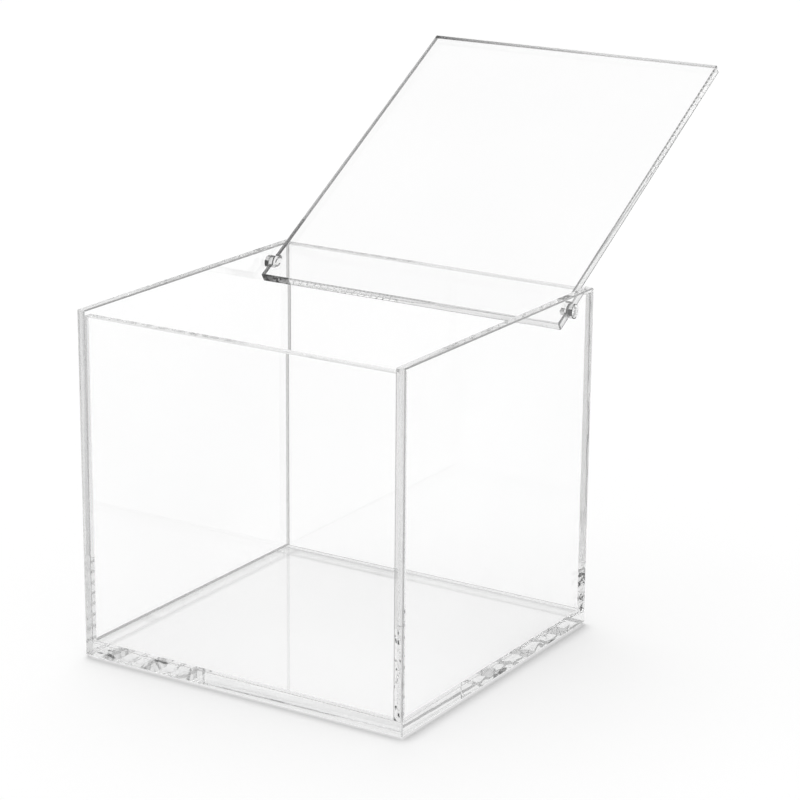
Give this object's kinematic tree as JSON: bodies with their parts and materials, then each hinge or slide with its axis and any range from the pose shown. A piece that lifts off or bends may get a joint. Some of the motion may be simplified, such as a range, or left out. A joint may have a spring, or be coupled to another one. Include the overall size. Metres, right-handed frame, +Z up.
{
  "type": "capsule storage box",
  "caption": "Clear open-topped storage box with a flat clear lid that tilts back on two round pegs in its side walls and stays open.",
  "frame": {"origin": "centre of the base slab's underside, on the surface the box stands on", "axes": "+Z up, front wall faces -Y, the hinge runs along X near the back; the lid stands open at rest, leaning back over +Y"},
  "size_m": [0.15, 0.2587, 0.2165],
  "materials": {
    "clear_sheet": "polished clear",
    "clear_rod": "polished clear"
  },
  "bodies": {
    "box": {"base_panel": "clear_sheet", "front_wall": "clear_sheet", "back_wall": "clear_sheet", "left_wall": "clear_sheet", "right_wall": "clear_sheet"},
    "lid": {"lid_panel": "clear_sheet", "left_hinge_pin": "clear_rod", "right_hinge_pin": "clear_rod"}
  },
  "joints": [
    {"name": "lid_hinge", "type": "hinge", "parent": "box", "child": "lid", "pos_m": [0, 0.0555, 0.137], "axis": [1, 0, 0], "range_deg": [0, 146.2]}
  ]
}
